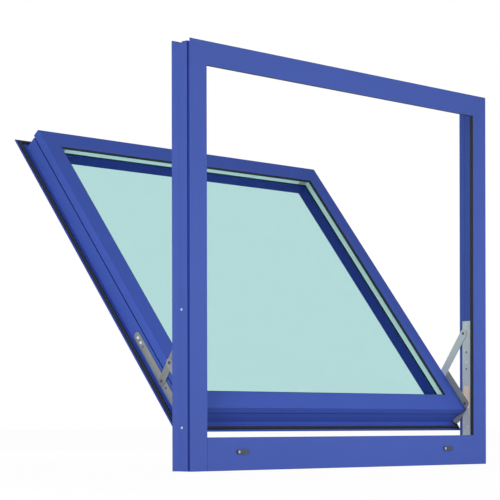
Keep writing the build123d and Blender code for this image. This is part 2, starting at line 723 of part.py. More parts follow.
with BuildPart() as stay_foot_arm_right:
    with BuildSketch(side_plane(ARM_X)):
        strip(SHOE_PIVOT, FOOT_PIVOT, ARM_WIDTH)
    extrude(amount=ARM_THICKNESS)
    with BuildSketch(side_plane(LINK_X)):
        disc(FOOT_PIVOT, RIVET_RADIUS)
    extrude(amount=RIVET_HEAD)
stay_foot_arm_right.part.label = "stay_foot_arm_right"
export_step(stay_foot_arm_right.part, "parts/stay_foot_arm_right.step")

with BuildPart() as stay_foot_arm_left:
    mirror(stay_foot_arm_right.part, about=Plane.YZ)
stay_foot_arm_left.part.label = "stay_foot_arm_left"
export_step(stay_foot_arm_left.part, "parts/stay_foot_arm_left.step")

with BuildPart() as stay_bar_right:
    with BuildSketch(side_plane(BAR_X)):
        strip(FOOT_PIVOT, BAR_TOP, BAR_WIDTH)
    extrude(amount=BAR_THICKNESS)
    with BuildSketch(side_plane(BAR_X)):
        holes_between(FOOT_PIVOT, BAR_TOP, BAR_HOLES)
    extrude(amount=BAR_THICKNESS, mode=Mode.SUBTRACT)
stay_bar_right.part.label = "stay_bar_right"
export_step(stay_bar_right.part, "parts/stay_bar_right.step")

with BuildPart() as stay_bar_left:
    mirror(stay_bar_right.part, about=Plane.YZ)
stay_bar_left.part.label = "stay_bar_left"
export_step(stay_bar_left.part, "parts/stay_bar_left.step")
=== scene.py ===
# %% [markdown]
# # A top swing window
# The window is a blue aluminium frame with a glazed sash that leans open on two steel stays.
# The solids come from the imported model, so this lesson gives them their finishes, adds the small
# fasteners, and sets up the light and the camera. The first cell loads the model and keeps its box.

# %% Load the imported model
from math import cos, pi, radians, sin

import bmesh
import bpy
from mathutils import Matrix, Vector


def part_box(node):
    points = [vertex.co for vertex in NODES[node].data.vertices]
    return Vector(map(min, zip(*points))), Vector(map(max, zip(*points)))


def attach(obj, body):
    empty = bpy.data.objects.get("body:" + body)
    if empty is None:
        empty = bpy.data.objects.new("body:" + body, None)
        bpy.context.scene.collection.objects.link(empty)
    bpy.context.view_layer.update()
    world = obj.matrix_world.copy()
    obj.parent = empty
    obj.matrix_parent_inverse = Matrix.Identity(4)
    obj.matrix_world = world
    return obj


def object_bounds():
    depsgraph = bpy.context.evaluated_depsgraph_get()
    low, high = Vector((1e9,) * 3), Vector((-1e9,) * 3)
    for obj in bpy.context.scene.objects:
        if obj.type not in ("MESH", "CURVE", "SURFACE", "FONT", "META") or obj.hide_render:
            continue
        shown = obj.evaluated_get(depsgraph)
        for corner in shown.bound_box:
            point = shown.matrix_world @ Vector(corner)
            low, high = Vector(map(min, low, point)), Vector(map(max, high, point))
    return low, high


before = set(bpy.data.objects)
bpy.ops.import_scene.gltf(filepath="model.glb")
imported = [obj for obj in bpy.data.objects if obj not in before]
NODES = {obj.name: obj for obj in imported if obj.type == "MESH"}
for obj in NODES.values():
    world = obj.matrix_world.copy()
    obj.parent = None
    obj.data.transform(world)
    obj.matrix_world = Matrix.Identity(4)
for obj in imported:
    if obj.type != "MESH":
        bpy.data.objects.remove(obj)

CAD_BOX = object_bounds()
print("nodes loaded:", len(NODES))

# %% [markdown]
# ## Shader maths as plain expressions
# A finish is mostly arithmetic on textures: a mask times a strength, one minus a mask, and so on.
# Adding a Math node by hand for each step is slow to read, so a small class wraps a socket and
# lets Python's own operators add those nodes. Every other node comes from its one method, node().

# %% A socket that can be added and multiplied
class Wire:
    """One output socket of a material's node tree, usable in Python arithmetic."""

    def __init__(self, tree, socket):
        self.tree = tree
        self.socket = socket

    def node(self, kind, settings=None, inputs=None, output=0):
        """Add a node, set its settings first, then fill or link its sockets, and wrap one output."""
        made = self.tree.nodes.new(kind)
        for name, value in (settings or {}).items():
            if name == "stops":
                set_stops(made.color_ramp, value)
            else:
                setattr(made, name, value)
        for name, value in (inputs or {}).items():
            if isinstance(value, Wire):
                self.tree.links.new(value.socket, made.inputs[name])
            else:
                made.inputs[name].default_value = value
        return Wire(self.tree, made.outputs[output])

    def math(self, operation, first, second=0.0):
        return self.node("ShaderNodeMath", {"operation": operation}, {0: first, 1: second})

    def __add__(self, other):
        return self.math("ADD", self, other)

    __radd__ = __add__

    def __sub__(self, other):
        return self.math("SUBTRACT", self, other)

    def __rsub__(self, other):
        return self.math("SUBTRACT", other, self)

    def __mul__(self, other):
        return self.math("MULTIPLY", self, other)

    __rmul__ = __mul__

    def __gt__(self, other):
        return self.math("GREATER_THAN", self, other)

    def __lt__(self, other):
        return self.math("LESS_THAN", self, other)


def set_stops(ramp, stops):
    """Give a colour ramp its stops, from (place, grey) pairs."""
    while len(ramp.elements) < len(stops):
        ramp.elements.new(0.5)
    for element, (place, grey) in zip(ramp.elements, stops):
        element.position = place
        element.color = (grey, grey, grey, 1.0)


print("a Wire takes + - * < > and adds any other node with node()")

# %% [markdown]
# Colours are easiest to pick as the 0 to 255 numbers of a picture. Blender's shaders work on
# linear light, so one helper turns such a colour into the linear one.

# %% Colours as they look
def seen(red, green, blue):
    """The linear colour that a screen shows as these 0 to 255 values."""
    parts = []
    for value in (red, green, blue):
        level = value / 255
        parts.append(level / 12.92 if level <= 0.04045 else ((level + 0.055) / 1.055) ** 2.4)
    return (*parts, 1.0)


def scaled(colour, factor):
    """A colour made lighter or darker by a factor."""
    return (*(min(1.0, part * factor) for part in colour[:3]), 1.0)


print("grey 128 in linear light:", round(seen(128, 128, 128)[0], 3))

# %% [markdown]
# Every finish starts in the same way: a material with a Principled shader, and the place of each
# point in metres. Object coordinates are right for that, because the model's nodes sit at the
# origin, so a grain has the same size on a long rail as on a small plate.

# %% Start a finish
def new_finish(name):
    """An empty finish: the material, its Principled shader and a wire with the place in metres."""
    material = bpy.data.materials.new(name)
    material.use_nodes = True
    tree = material.node_tree
    shader = tree.nodes["Principled BSDF"]
    coordinates = tree.nodes.new("ShaderNodeTexCoord")
    place = Wire(tree, coordinates.outputs["Object"])
    return material, shader, place


def feed(shader, **wires):
    """Link wires, or set plain values, on the sockets of a Principled shader."""
    for name, value in wires.items():
        socket = shader.inputs[name.replace("_", " ")]
        if isinstance(value, Wire):
            value.tree.links.new(value.socket, socket)
        else:
            socket.default_value = value


def grain(place, scale, detail=2.0, roughness=0.5, stretch=(1, 1, 1)):
    """Noise with a given number of features per metre, stretched along chosen axes."""
    moved = place.node("ShaderNodeMapping", {}, {"Vector": place, "Scale": stretch})
    values = {"Vector": moved, "Scale": scale, "Detail": detail, "Roughness": roughness}
    return place.node("ShaderNodeTexNoise", {}, values)


def between(mask, low, high):
    """A colour that runs from low to high as the mask runs from 0 to 1."""
    return mask.node(
        "ShaderNodeMix",
        {"data_type": "RGBA"},
        {0: mask, 6: low, 7: high},
        output=2,
    )


def bumped(height, strength, distance):
    """A normal that is tilted by a height."""
    return height.node(
        "ShaderNodeBump", {}, {"Height": height, "Strength": strength, "Distance": distance}
    )


HELPERS = (new_finish, feed, grain, between, bumped)
print("helpers for a finish:", ", ".join(helper.__name__ for helper in HELPERS))

# %% [markdown]
# ## Blue powder coat
# The frame and the sash are aluminium with a baked blue powder coat. Close up it has the soft
# ripple that painters call orange peel, a fine speckle and a gloss that changes a little from
# place to place. Three noises of different size give those, and the finest one makes the bump.
# The coat is also written darker in tight corners, as painted shade. An Ambient Occlusion node finds
# such corners: it measures how much of the room a point can see within a short distance.

# %% Powder coat
PAINTED_SHADE_REACH = 0.005
PAINTED_SHADE_STOPS = [(0.1, 1.0), (0.5, 0.0)]
PAINTED_CORNER_DARKNESS = 0.6


def powder_coat(name, colour, shadow_groove_of=None, groove_shadow_colour=None):
    """A satin powder coat with painted shade in corners, and a painted shadow colour in a groove if a
    groove mask is given.
    """
    material, shader, place = new_finish(name)
    clouds = grain(place, 9, 3, 0.6)
    speckle = grain(place, 2600, 2, 0.7)
    peel = grain(place, 420, 2, 0.45)
    tone = clouds * 0.55 + speckle * 0.45
    reach = {"Distance": PAINTED_SHADE_REACH}
    # Painted shade: the coat turns darker where the Ambient Occlusion node sees little of the room.
    open_sky = place.node("ShaderNodeAmbientOcclusion", {"samples": 8}, reach, 1)
    corner = open_sky.node("ShaderNodeValToRGB", {"stops": PAINTED_SHADE_STOPS}, {"Fac": open_sky})
    coat = between(tone, scaled(colour, 0.93), scaled(colour, 1.07))
    coat = between(corner, coat, scaled(colour, PAINTED_CORNER_DARKNESS))
    # Painted shadow: the groove colour replaces the coat where the groove mask is one.
    if shadow_groove_of:
        coat = between(shadow_groove_of(place), coat, groove_shadow_colour)
    feed(
        shader,
        Base_Color=coat,
        Roughness=0.42 + clouds * 0.12 + speckle * 0.06,
        Normal=bumped(peel + speckle * 0.35, 0.10, 0.0006),
        Specular_IOR_Level=0.03,
    )
    return material


print("corners are found within", 1000 * PAINTED_SHADE_REACH, "mm")

# %% [markdown]
# Both the frame and the sash have a groove along the outer side that reads as a dark line. The coat
# in it is written a darker blue, as painted shadow. The groove is found by where it is: on the frame
# by the depth from the front and from the outer side, on the sash by the depth along its leaning axis.

# %% Grooves in the coats
FRAME_GROOVE_SINK = (0.0039, 0.0065)
FRAME_GROOVE_DEPTH = (-0.0260, -0.0148)
SASH_GROOVE_DEPTH = (0.01895, 0.02345)
SASH_EDGE_DEPTH = 0.0039
SASH_EDGE_HEIGHT = 0.1345
SASH_LEAN = 38.0


def inside(value, limits):
    """One where a value lies between two limits, else zero."""
    return (value > limits[0]) * (value < limits[1])


def axes_of(place):
    """The three coordinates of a place as wires."""
    return [place.node("ShaderNodeSeparateXYZ", {}, {0: place}, axis) for axis in range(3)]


def frame_groove_shadow(place):
    """Where the painted shadow goes: the groove behind the front leg of the head and the jambs."""
    across, depth, height = axes_of(place)
    from_side = CAD_BOX[1][0] - across.math("ABSOLUTE", across)
    from_top = CAD_BOX[1][2] - height
    sunk = from_side.math("MINIMUM", from_side, from_top)
    return inside(sunk, FRAME_GROOVE_SINK) * inside(depth, FRAME_GROOVE_DEPTH)


def behind_sash_front(place):
    """How far a place lies behind the leaning front of the sash."""
    depth, height = axes_of(place)[1:]
    back = (depth - SASH_EDGE_DEPTH) * cos(radians(SASH_LEAN))
    up = (height - SASH_EDGE_HEIGHT) * sin(radians(SASH_LEAN))
    return back - up


def sash_groove_shadow(place):
    """Where the painted shadow goes: the groove along the outer side of the sash, in front of the
    recess for the bar.
    """
    return inside(behind_sash_front(place), SASH_GROOVE_DEPTH)


print("sash groove, mm behind its front:", [1000 * limit for limit in SASH_GROOVE_DEPTH])


# %% [markdown]
# The same powder looks different on the three groups of pieces. The sash is turned away from the
# light, so its blue is written a little brighter. The beads sit behind two panes, get hardly any
# light and read as navy, so theirs is written darker.

# %% The three blues
FRAME_BLUE = seen(75, 96, 176)
SASH_BLUE = seen(70, 95, 185)
BEAD_BLUE = seen(62, 70, 168)
# Painted shadow colours for the grooves on the frame and the sash.
FRAME_GROOVE_SHADOW_BLUE = seen(46, 65, 146)
SASH_GROOVE_SHADOW_BLUE = seen(44, 60, 128)
frame_coat = powder_coat("frame_powder_coat", FRAME_BLUE, frame_groove_shadow, FRAME_GROOVE_SHADOW_BLUE)
sash_coat = powder_coat("sash_powder_coat", SASH_BLUE, sash_groove_shadow, SASH_GROOVE_SHADOW_BLUE)
bead_coat = powder_coat("bead_powder_coat", BEAD_BLUE)
print("powder coats:", frame_coat.name, sash_coat.name, bead_coat.name)

# %% [markdown]
# ## Rubber seals
# The black seals are extruded rubber: matt, a little grey where the surface has bloomed, with a
# fine grain and fine ribs along their length from the die. A long soft noise lightens it in patches
# and a fine one gives the grain. The ribs are a sine of the place across the seal. Across means from
# front to back on the frame, and along the leaning axis on the sash.

# %% Rubber
RIB_PITCH = 0.0011


def rubber(name, colour, across_of):
    """Matt extruded rubber with ribs, spaced along the coordinate that across_of gives."""
    material, shader, place = new_finish(name)
    bloom = grain(place, 30, 3, 0.6)
    pores = grain(place, 3200, 2, 0.6)
    phase = across_of(place) * (2 * pi / RIB_PITCH)
    ribs = phase.math("SINE", phase)
    feed(
        shader,
        Base_Color=between(bloom * 0.7 + pores * 0.3, scaled(colour, 0.75), scaled(colour, 1.35)),
        Roughness=0.62 + bloom * 0.16,
        Normal=bumped(pores + ribs * 0.4, 0.18, 0.0003),
        Specular_IOR_Level=0.35,
    )
    return material


def behind_frame_front(place):
    """The coordinate from the front of the frame to its back."""
    return axes_of(place)[1]


SEAL_BLACK = seen(34, 40, 45)
frame_rubber = rubber("frame_seal_rubber", SEAL_BLACK, behind_frame_front)
sash_rubber = rubber("sash_seal_rubber", SEAL_BLACK, behind_sash_front)
print("rubbers:", frame_rubber.name, sash_rubber.name)

# %% [markdown]
# ## Satin stainless steel
# The stays are stamped from stainless strip that was brushed along its length. A noise that is
# squeezed hard along one direction makes the brush marks. Each strip lies at its own angle, so the
# direction is an argument: it turns the coordinates in the plane of the stay before the squeeze.
# Real steel is fully metallic. Here the shader is so only in part. The strips on the sash and the
# left arm lie in the shade of the sash, so they are written darker than the tracks, as painted shade.

# %% Brushed steel
def brushed_steel(name, colour, angle):
    """Stainless strip brushed along a direction given in degrees up from the horizontal."""
    material, shader, place = new_finish(name)
    turned = place.node(
        "ShaderNodeMapping", {}, {"Vector": place, "Rotation": (-radians(angle), 0.0, 0.0)}
    )
    marks = grain(turned, 900, 3, 0.65, (0.6, 0.03, 1.6))
    clouds = grain(place, 45, 2, 0.5)
    feed(
        shader,
        Base_Color=between(marks * 0.6 + clouds * 0.4, scaled(colour, 0.78), scaled(colour, 1.2)),
        Metallic=0.3,
        Roughness=0.4 + marks * 0.18 + clouds * 0.06,
        Normal=bumped(marks, 0.12, 0.0002),
    )
    return material


STEEL = seen(208, 215, 217)
# Painted shade: the bar, link and foot arm steel and the left arm steel are written darker than the
# tracks.
BAR_PAINTED_SHADE = 0.46
ARM_SHADE = 0.95
LEFT_ARM_PAINTED_SHADE = 0.36
UPRIGHT = 90.0
ARM_SLOPE = -56.0
track_steel = brushed_steel("track_steel", STEEL, UPRIGHT)
shaded_bar_steel = brushed_steel("sash_bar_shaded_steel", scaled(STEEL, BAR_PAINTED_SHADE), UPRIGHT - SASH_LEAN)
arm_steel = brushed_steel("arm_steel", scaled(STEEL, ARM_SHADE), ARM_SLOPE)
shaded_left_arm_steel = brushed_steel("left_arm_shaded_steel", scaled(STEEL, LEFT_ARM_PAINTED_SHADE), ARM_SLOPE)
print("steels:", track_steel.name, shaded_bar_steel.name, arm_steel.name, shaded_left_arm_steel.name)

# %% [markdown]
# ## Glass
# The panes are clear float glass with a pale green tint. Each surface that a ray crosses tints it,
# so two panes in a row give the full colour. Glass that bends light would stop the lamps, so rays
# from lamps pass through a plain tinted shader instead. Real glass has a refractive index of about
# 1.5. The picture shows no reflections in it, so the index here is close to that of air.

# %% Glass
def float_glass(name, tint):
    """Clear glass with a tint, and a ripple too faint to see except in reflections."""
    material, shader, place = new_finish(name)
    ripple = grain(place, 5, 1, 0.4)
    film = grain(place, 28, 3, 0.6)
    feed(
        shader,
        Base_Color=between(film, scaled(tint, 0.985), scaled(tint, 1.015)),
        Roughness=film * 0.012,
        Normal=bumped(ripple, 0.02, 0.002),
        Transmission_Weight=1.0,
        IOR=1.03,
    )
    rays = material.node_tree.nodes.new("ShaderNodeLightPath")
    lamp_ray = Wire(material.node_tree, rays.outputs["Is Shadow Ray"])
    clear = lamp_ray.node("ShaderNodeBsdfTransparent", {}, {"Color": tint})
    glass = Wire(material.node_tree, shader.outputs[0])
    pane = lamp_ray.node("ShaderNodeMixShader", {}, {0: lamp_ray, 1: glass, 2: clear})
    outlet = material.node_tree.nodes["Material Output"]
    material.node_tree.links.new(pane.socket, outlet.inputs["Surface"])
    return material


PANE_TINT = seen(214, 236, 235)
pane_glass = float_glass("pane_glass", PANE_TINT)
print("glass:", pane_glass.name)

# %% [markdown]
# ## Spacer
# The strip between the panes keeps them apart. It is dull aluminium with rows of small holes that
# lead to a drying agent. A Voronoi texture without randomness is a regular grid of dots, so a limit
# on its distance gives the holes without any geometry. The ends of the upper and lower runs are
# written a darker grey, found by how far in from the side a place is.

# %% Spacer strip
RUN_END_FROM_SIDE = (0.014, 0.040)
RUN_END_GREY = 0.45
HOLES_PER_METRE = 260.0
HOLE_SIZE = 0.16
HOLE_SHADE = 0.7


def darker_run_end(place):
    """One on the ends of the upper and lower runs of the spacer, else zero."""
    across = axes_of(place)[0]
    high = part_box("glazing_spacer")[1]
    from_side = high.x - across.math("ABSOLUTE", across)
    return inside(from_side, RUN_END_FROM_SIDE)


def spacer_strip(name, colour):
    """Dull aluminium strip with fine marks, small holes in rows and darker grey ends on two runs."""
    material, shader, place = new_finish(name)
    marks = grain(place, 700, 2, 0.6)
    rows = {"Vector": place, "Scale": HOLES_PER_METRE, "Randomness": 0.0}
    hole = place.node("ShaderNodeTexVoronoi", {}, rows) < HOLE_SIZE
    strip = between(marks, scaled(colour, 0.9), scaled(colour, 1.1))
    drilled = between(hole, strip, scaled(colour, HOLE_SHADE))
    feed(
        shader,
        # Darker grey at the ends of the upper and lower runs.
        Base_Color=between(darker_run_end(place), drilled, scaled(colour, RUN_END_GREY)),
        Metallic=0.05,
        Roughness=0.45 + marks * 0.1,
        Normal=bumped(marks, 0.08, 0.0002),
    )
    return material


SPACER_TONE = seen(243, 248, 248)
spacer_metal = spacer_strip("spacer_strip", SPACER_TONE)
print("spacer:", spacer_metal.name)

# %% [markdown]
# ## Moulded plastic
# The tan shoe in the track and the dark drain covers are moulded. Their tools are spark-eroded, which
# leaves a fine even texture, so one fine noise makes the bump and a soft one varies the colour.

# %% Moulded plastic
def moulded_plastic(name, colour):
    """Satin moulded plastic with a fine spark-eroded texture."""
    material, shader, place = new_finish(name)
    texture = grain(place, 1800, 2, 0.6)
    clouds = grain(place, 60, 2, 0.5)
    feed(
        shader,
        Base_Color=between(clouds * 0.6 + texture * 0.4, scaled(colour, 0.9), scaled(colour, 1.1)),
        Roughness=0.5 + texture * 0.12,
        Normal=bumped(texture, 0.15, 0.0003),
    )
    return material


shoe_plastic = moulded_plastic("shoe_plastic", seen(246, 226, 198))
drain_plastic = moulded_plastic("drain_plastic", seen(52, 58, 60))
print("plastics:", shoe_plastic.name, drain_plastic.name)

# %% [markdown]
# ## Dress the solids
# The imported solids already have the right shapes, so they stay and only change material. The names
# of the nodes say what each piece is, and the first matching start of a name picks its finish.

# %% Give each node its finish
FINISH_BY_START = [
    ("frame_seal", frame_rubber),
    ("frame_", frame_coat),
    ("drain_", drain_plastic),
    ("sash_seal", sash_rubber),
    ("sash_", sash_coat),
    ("bead_", bead_coat),
    ("glazing_seal", sash_rubber),
    ("glazing_spacer", spacer_metal),
    ("outer_pane", pane_glass),
    ("inner_pane", pane_glass),
    ("stay_shoe", shoe_plastic),
    ("stay_track", track_steel),
    ("stay_bar", shaded_bar_steel),
    ("stay_link", shaded_bar_steel),
    ("stay_foot_arm", shaded_bar_steel),
    ("stay_arm_left", shaded_left_arm_steel),
    ("stay_", arm_steel),
]


def finish_for(node_name):
    """The finish of the first start that the node's name has."""
    return next(finish for start, finish in FINISH_BY_START if node_name.startswith(start))


for node_name, node in NODES.items():
    node.data.materials.clear()
    node.data.materials.append(finish_for(node_name))
print("dressed nodes:", len(NODES))

# %% [markdown]
# ## Screws
# The stays are held by pan head screws with a cross recess. A head is a small turned shape, so its
# side is a profile spun round an axis. The top is a flat disc with a cross-shaped hole: one fill
# between the outer circle and the outline of the cross, with walls and a floor below it.

# %% Screw heads
SPIN_STEPS = 24
HEAD_RIM = 0.72
CROSS_REACH = 0.72
CROSS_HALF_WIDTH = 0.2
CROSS_TAPER = 0.85
CROSS_FLOOR = 0.4


def spun_rings(mesh, profile):
    """Rings for a profile of (radius, height) pairs, joined by quads. Gives the first and the last."""
    turns = [2 * pi * step / SPIN_STEPS for step in range(SPIN_STEPS)]
    rings = []
    for radius, height in profile:
        circle = [(radius * cos(turn), radius * sin(turn), height) for turn in turns]
        rings.append([mesh.verts.new(point) for point in circle])
    for lower, upper in zip(rings, rings[1:]):
        for step in range(SPIN_STEPS):
            following = (step + 1) % SPIN_STEPS
            mesh.faces.new((lower[step], lower[following], upper[following], upper[step]))
    return rings[0], rings[-1]


def loop_edges(mesh, ring):
    """The closed loop of edges through a ring of vertices."""
    pairs = zip(ring, ring[1:] + ring[:1])
    return [mesh.edges.get(pair) or mesh.edges.new(pair) for pair in pairs]


def screw_head_mesh(name, radius, height):
    """A pan head with a cross recess, its seat at zero and its top along +Z."""
    mesh = bmesh.new()
    rim = radius * HEAD_RIM
    bulge = [(radius, 0.0), (radius, height * 0.35), (radius * 0.93, height * 0.75), (rim, height)]
    foot, top = spun_rings(mesh, bulge)
    mesh.faces.new(foot)
    reach = rim * CROSS_REACH
    half = rim * CROSS_HALF_WIDTH
    quarter = [(reach, -half), (reach, half), (half, half)]
    cross = []
    for turn in range(4):
        cosine, sine = round(cos(turn * pi / 2)), round(sin(turn * pi / 2))
        cross += [(x * cosine - y * sine, x * sine + y * cosine) for x, y in quarter]
    lip = [mesh.verts.new((x, y, height)) for x, y in cross]
    floor_height = height * CROSS_FLOOR
    bottom = [mesh.verts.new((x * CROSS_TAPER, y * CROSS_TAPER, floor_height)) for x, y in cross]
    bmesh.ops.triangle_fill(mesh, edges=loop_edges(mesh, top) + loop_edges(mesh, lip))
    for step in range(len(lip)):
        following = (step + 1) % len(lip)
        mesh.faces.new((lip[step], bottom[step], bottom[following], lip[following]))
    mesh.faces.new(bottom)
    bmesh.ops.recalc_face_normals(mesh, faces=mesh.faces[:])
    data = bpy.data.meshes.new(name)
    mesh.to_mesh(data)
    mesh.free()
    return data


def seat(name, data, place, axis, finish):
    """Put a fastener on a surface, with its axis pointing out of it."""
    piece = bpy.data.objects.new(name, data)
    turn = Vector((0, 0, 1)).rotation_difference(Vector(axis)).to_matrix().to_4x4()
    piece.matrix_world = Matrix.Translation(Vector(place)) @ turn
    bpy.context.scene.collection.objects.link(piece)
    piece.data.materials.clear()
    piece.data.materials.append(finish)
    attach(piece, "root")
    return piece


print("spin steps:", SPIN_STEPS)

# %% [markdown]
# The track has five holes, and three of them hold screws. The upper two sit on the cover and the
# lowest one on the floor of the channel. Places along the track are shares of its length, taken
# from the box of the node, so the screws follow the model.

# %% Screws in the tracks
def bright_zinc(name):
    """Bright zinc plating: pale, fine-grained and fairly sharp in its shine."""
    material, shader, place = new_finish(name)
    grit = grain(place, 2500, 2, 0.6)
    clouds = grain(place, 300, 2, 0.5)
    feed(
        shader,
        Base_Color=between(clouds * 0.6 + grit * 0.4, seen(205, 210, 212), seen(244, 246, 246)),
        Metallic=0.25,
        Roughness=0.26 + grit * 0.16,
        Normal=bumped(grit, 0.08, 0.0001),
    )
    return material


zinc = bright_zinc("bright_zinc")
SCREW_RADIUS = 0.0037
SCREW_HEIGHT = 0.0016
COVER_SHARES = {"upper": 0.975, "middle": 0.65}
CHANNEL_SHARE = 0.12
CHANNEL_SINK = 0.001
track_screw = screw_head_mesh("track_screw", SCREW_RADIUS, SCREW_HEIGHT)

for side, sign in (("left", -1), ("right", 1)):
    low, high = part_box(f"stay_track_{side}")
    middle_y = (low.y + high.y) / 2
    face_x = min(abs(low.x), abs(high.x)) * sign
    inward = (-sign, 0, 0)
    for place_name, share in COVER_SHARES.items():
        height = low.z + (high.z - low.z) * share
        place = (face_x, middle_y, height)
        seat(f"track_screw_{place_name}_{side}", track_screw, place, inward, zinc)
    height = low.z + (high.z - low.z) * CHANNEL_SHARE
    place = (face_x + sign * CHANNEL_SINK, middle_y, height)
    seat(f"track_screw_lower_{side}", track_screw, place, inward, zinc)
print("track screws:", 2 * (len(COVER_SHARES) + 1))

# %% [markdown]
# The bar on the sash has two screws near its upper end. The bar is a slanted strip with round ends,
# so half its width in from the corners of its box are the centres of those ends, and a share of the
# way between them gives each screw. Two more screws sit in the channel along the outer side of each
# jamb.

# %% Screws in the bars and the jambs
BAR_WIDTH = 0.018
BAR_SHARES = {"upper": 0.98, "lower": 0.92}


def rising_ends(low, high, width):
    """Centres of the round ends of a strip that rises towards the back: the lower one first."""
    half = width / 2
    return Vector((0, low.y + half, low.z + half)), Vector((0, high.y - half, high.z - half))


def falling_ends(low, high, width):
    """Centres of the round ends of a strip that falls towards the back: the upper one first."""
    half = width / 2
    return Vector((0, low.y + half, high.z - half)), Vector((0, high.y - half, low.z + half))


for side, sign in (("left", -1), ("right", 1)):
    low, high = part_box(f"stay_bar_{side}")
    foot, top = rising_ends(low, high, BAR_WIDTH)
    face = Vector((sign * max(abs(low.x), abs(high.x)), 0, 0))
    for place_name, share in BAR_SHARES.items():
        place = face + foot.lerp(top, share)
        seat(f"bar_screw_{place_name}_{side}", track_screw, place, (sign, 0, 0), zinc)

JAMB_SCREW_HEIGHTS = {"upper": 0.338, "lower": 0.091}
JAMB_SCREW_Y = 0.0042
JAMB_SCREW_RADIUS = 0.0026
CHANNEL_DEPTH = 0.0064
jamb_screw = screw_head_mesh("jamb_screw", JAMB_SCREW_RADIUS, SCREW_HEIGHT)
for side, sign in (("left", -1), ("right", 1)):
    low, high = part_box(f"frame_{side}_jamb")
    face_x = sign * (max(abs(low.x), abs(high.x)) - CHANNEL_DEPTH)
    for place_name, height in JAMB_SCREW_HEIGHTS.items():
        place = (face_x, JAMB_SCREW_Y, height)
        seat(f"jamb_screw_{place_name}_{side}", jamb_screw, place, (sign, 0, 0), zinc)
print("bar and jamb screws:", 2 * (len(BAR_SHARES) + len(JAMB_SCREW_HEIGHTS)))

# %% [markdown]
# ## Rivets
# The arms turn on hollow rivets, which show as dark rings with a dimple. They are spun from one
# profile. The arms are strips with round ends too, so the pivots are found as the bar's ends were,
# and each rivet sits on the face of the arm that can be seen.

# %% Rivets
def spun_mesh(name, profile):
    """A closed turned shape with a flat seat, from a profile that starts there and ends in a flat."""
    mesh = bmesh.new()
    foot, tip = spun_rings(mesh, profile)
    mesh.faces.new(tip)
    for face in mesh.faces:
        face.smooth = True
    mesh.faces.new(foot)
    bmesh.ops.recalc_face_normals(mesh, faces=mesh.faces[:])
    data = bpy.data.meshes.new(name)
    mesh.to_mesh(data)
    mesh.free()
    return data


def dark_rivet(name):
    """Burnished dark steel with fine scratches."""
    material, shader, place = new_finish(name)
    scratches = grain(place, 1800, 3, 0.7, (1, 4, 0.6))
    feed(
        shader,
        Base_Color=between(scratches, seen(48, 52, 56), seen(92, 96, 100)),
        Metallic=0.4,
        Roughness=0.42 + scratches * 0.2,
        Normal=bumped(scratches, 0.1, 0.0001),
    )
    return material


ARM_WIDTH = 0.019
RIVET_HEAD = 0.0011
ARM_THICKNESS = 0.0017
rivet_steel = dark_rivet("burnished_rivet")
RIVET_PROFILE = [(3.4, 0.0), (3.4, 0.3), (2.9, 0.55), (2.1, 0.6), (1.5, 0.5), (1.2, 0.12)]
rivet = spun_mesh("rivet", [(radius / 1000, height / 1000) for radius, height in RIVET_PROFILE])

for side, sign in (("left", -1), ("right", 1)):
    arm_low, arm_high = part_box(f"stay_arm_{side}")
    track_pivot, bar_pivot = falling_ends(arm_low, arm_high, ARM_WIDTH)
    shoe_pivot, link_pivot = rising_ends(*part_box(f"stay_link_{side}"), ARM_WIDTH)
    foot_low, foot_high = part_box(f"stay_foot_arm_{side}")
    inner = min(abs(arm_low.x), abs(arm_high.x))
    outer = inner + RIVET_HEAD + ARM_THICKNESS + RIVET_HEAD
    shoe_face = min(abs(foot_low.x), abs(foot_high.x))
    faces = {
        "track": (track_pivot, inner, -sign),
        "shoe": (shoe_pivot, shoe_face, -sign),
        "bar": (bar_pivot, outer, sign),
        "foot": (falling_ends(foot_low, foot_high, ARM_WIDTH)[1], outer, sign),
    }
    for pivot_name, (pivot, reach, outward) in faces.items():
        place = pivot + Vector((sign * reach, 0, 0))
        seat(f"rivet_{pivot_name}_{side}", rivet, place, (outward, 0, 0), rivet_steel)
    link_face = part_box(f"stay_link_{side}")
    reach = max(abs(link_face[0].x), abs(link_face[1].x))
    place = link_pivot + Vector((sign * reach, 0, 0))
    seat(f"rivet_link_{side}", rivet, place, (sign, 0, 0), rivet_steel)
print("rivets:", 2 * (len(faces) + 1))

# %% [markdown]
# ## Drain pins
# Each drain cover is held by one pin, a low pale dome at the left end of the cover. It is spun like
# the rivets, and seated on the front of the cover's box.

# %% Drain pins
PIN_PROFILE = [(3.3, 0.0), (3.3, 0.4), (2.8, 0.9), (1.6, 1.2), (0.5, 1.3)]
pin = spun_mesh("drain_pin", [(radius / 1000, height / 1000) for radius, height in PIN_PROFILE])
pin_plastic = moulded_plastic("pin_plastic", seen(168, 178, 186))
for side in ("left", "right"):
    low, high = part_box(f"drain_cover_{side}")
    half_height = (high.z - low.z) / 2
    place = (low.x + half_height, low.y, low.z + half_height)
    seat(f"drain_pin_{side}", pin, place, (0, -1, 0), pin_plastic)
print("drain pins: 2")

# %% [markdown]
# ## Camera
# The picture was taken from the left and from low down, with upright edges that stay upright. That
# means a level camera with its view shifted up, so the camera isn't tilted. The place and the focal
# length come from the lines of the frame that run to a common point.

# %% Camera
CAMERA_PLACE = Vector((-3.3477, -2.8564, 0.0974))
CAMERA_TURN = 46.825
CAMERA_ROLL = 0.116
FOCAL_PIXELS = 1932.1
PICTURE_PIXELS = 500
HORIZON_PIXELS = 424.7
MIDDLE_PIXELS = 250.6

